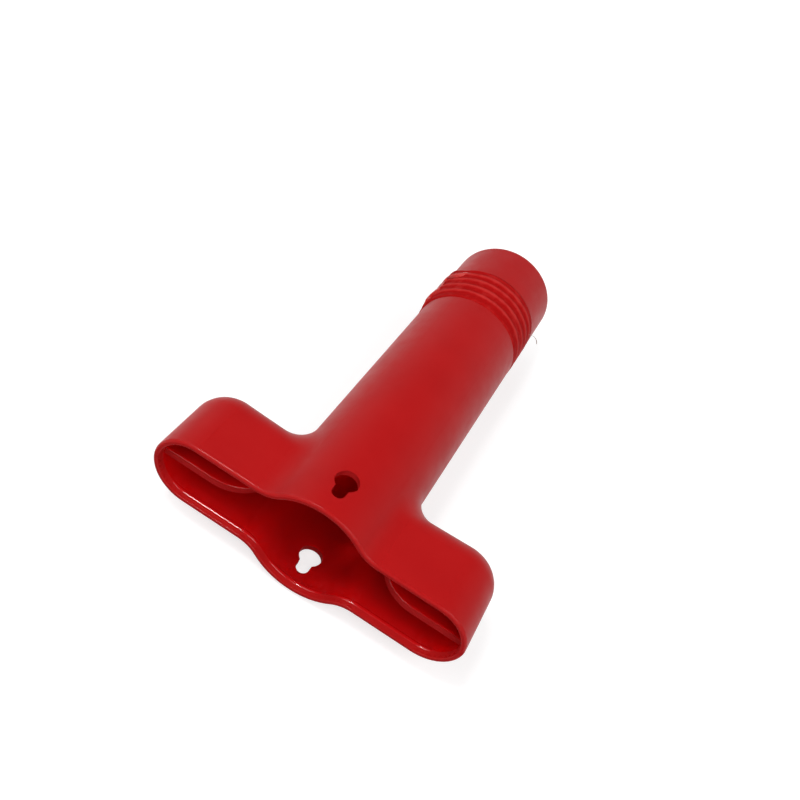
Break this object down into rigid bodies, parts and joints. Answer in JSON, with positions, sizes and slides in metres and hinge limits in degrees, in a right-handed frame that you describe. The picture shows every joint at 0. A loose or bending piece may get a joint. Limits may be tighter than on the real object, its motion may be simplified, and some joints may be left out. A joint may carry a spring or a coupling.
{
  "type": "fire hydrant wrench",
  "caption": "T-handled hydrant wrench: hollow moulded grip and barrel, pentagon drive socket inside the barrel's end, cord binding and a keyhole to hang it by.",
  "frame": {"origin": "centre of the drive end's face, where the nut goes in", "axes": "+Y along the barrel and out of the drive end; X along the grip's two wings; Z square to the wings"},
  "size_m": [0.1294, 0.2045, 0.0524],
  "materials": {
    "moulding": "fine matte texture outside, smoother and glossier inside",
    "casting": "sand-cast, machined at its mouth",
    "pins": "drawn rod, plain",
    "binding": "glossy, slightly translucent"
  },
  "bodies": {
    "root": {"wrench_body": "moulding", "drive_socket": "casting", "socket_pins": "pins", "binding_cord": "binding", "binding_tail": "binding"}
  },
  "joints": []
}
